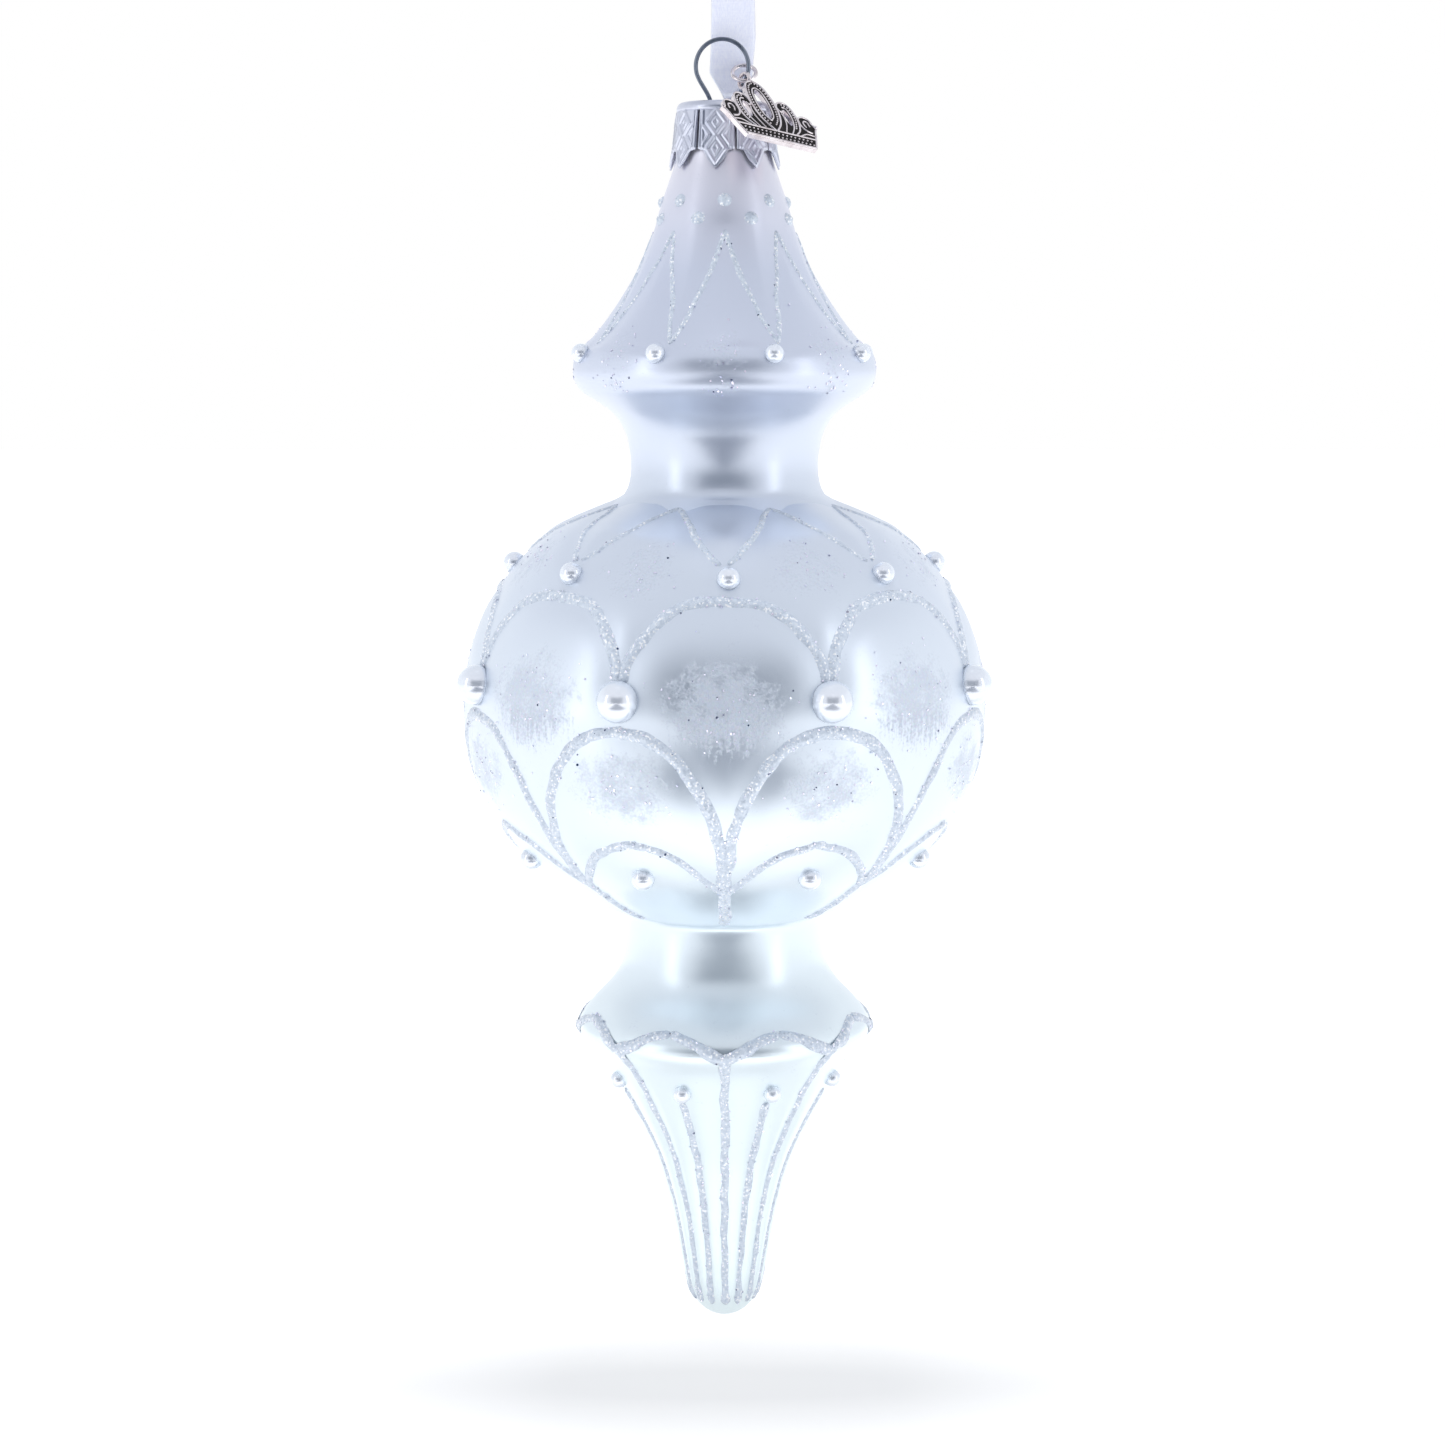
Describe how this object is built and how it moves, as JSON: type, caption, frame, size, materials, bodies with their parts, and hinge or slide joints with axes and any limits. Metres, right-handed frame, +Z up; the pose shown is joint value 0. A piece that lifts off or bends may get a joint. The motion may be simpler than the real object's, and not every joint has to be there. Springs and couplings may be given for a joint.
{
  "type": "icicle hanging ornament",
  "caption": "Hanging glass ornament shaped as a cone, ball and icicle drop, with half pearls, a stamped cap, a wire hanger, a crown charm and a ribbon loop.",
  "frame": {"origin": "middle of the ribbon's knot, from which the ornament hangs", "axes": "+Z up along the glass body's axis, -Y is the front, where the crown charm hangs"},
  "size_m": [0.0772, 0.0772, 0.2143],
  "materials": {
    "lacquered_glass": "satin pearl lacquer over silvered glass",
    "pearl": "glossy pearl",
    "stamped_tin": "stamped, satin",
    "steel_wire": "drawn wire",
    "antiqued_silver": "polished high spots over black patina",
    "ribbon": "satin"
  },
  "bodies": {
    "knot": {"ribbon_knot": "ribbon"},
    "hanger": {"ribbon_loop": "ribbon", "wire_hanger": "steel_wire", "metal_cap": "stamped_tin"},
    "glass": {"glass_body": "lacquered_glass", "cone_pearl_1": "pearl", "cone_pearl_2": "pearl", "cone_pearl_3": "pearl", "cone_pearl_4": "pearl", "cone_pearl_5": "pearl", "cone_pearl_6": "pearl", "cone_pearl_7": "pearl", "cone_pearl_8": "pearl", "upper_ball_pearl_1": "pearl", "upper_ball_pearl_2": "pearl", "upper_ball_pearl_3": "pearl", "upper_ball_pearl_4": "pearl", "upper_ball_pearl_5": "pearl", "upper_ball_pearl_6": "pearl", "upper_ball_pearl_7": "pearl", "upper_ball_pearl_8": "pearl", "middle_ball_pearl_1": "pearl", "middle_ball_pearl_2": "pearl", "middle_ball_pearl_3": "pearl", "middle_ball_pearl_4": "pearl", "middle_ball_pearl_5": "pearl", "middle_ball_pearl_6": "pearl", "middle_ball_pearl_7": "pearl", "middle_ball_pearl_8": "pearl", "lower_ball_pearl_1": "pearl", "lower_ball_pearl_2": "pearl", "lower_ball_pearl_3": "pearl", "lower_ball_pearl_4": "pearl", "lower_ball_pearl_5": "pearl", "lower_ball_pearl_6": "pearl", "lower_ball_pearl_7": "pearl", "lower_ball_pearl_8": "pearl", "drop_pearl_1": "pearl", "drop_pearl_2": "pearl", "drop_pearl_3": "pearl", "drop_pearl_4": "pearl", "drop_pearl_5": "pearl", "drop_pearl_6": "pearl", "drop_pearl_7": "pearl", "drop_pearl_8": "pearl"},
    "jump_ring": {"jump_ring": "antiqued_silver"},
    "charm": {"crown_charm": "antiqued_silver"}
  },
  "joints": [
    {"name": "ornament_swing", "type": "hinge", "parent": "knot", "child": "hanger", "pos_m": [0, 0, -0.0026], "axis": [1, 0, 0], "range_deg": [-20, 20]},
    {"name": "glass_pull_off", "type": "slide", "parent": "hanger", "child": "glass", "axis": [0, 0, -1], "range_m": [0, 0.024]},
    {"name": "ring_rock", "type": "hinge", "parent": "hanger", "child": "jump_ring", "pos_m": [0.00283, 0.00054, -0.01851], "axis": [-1, 0, 0], "range_deg": [0, 30]},
    {"name": "charm_swing", "type": "hinge", "parent": "jump_ring", "child": "charm", "pos_m": [0.00282, -0.00186, -0.02092], "axis": [-1, 0, 0], "range_deg": [0, 20]}
  ]
}
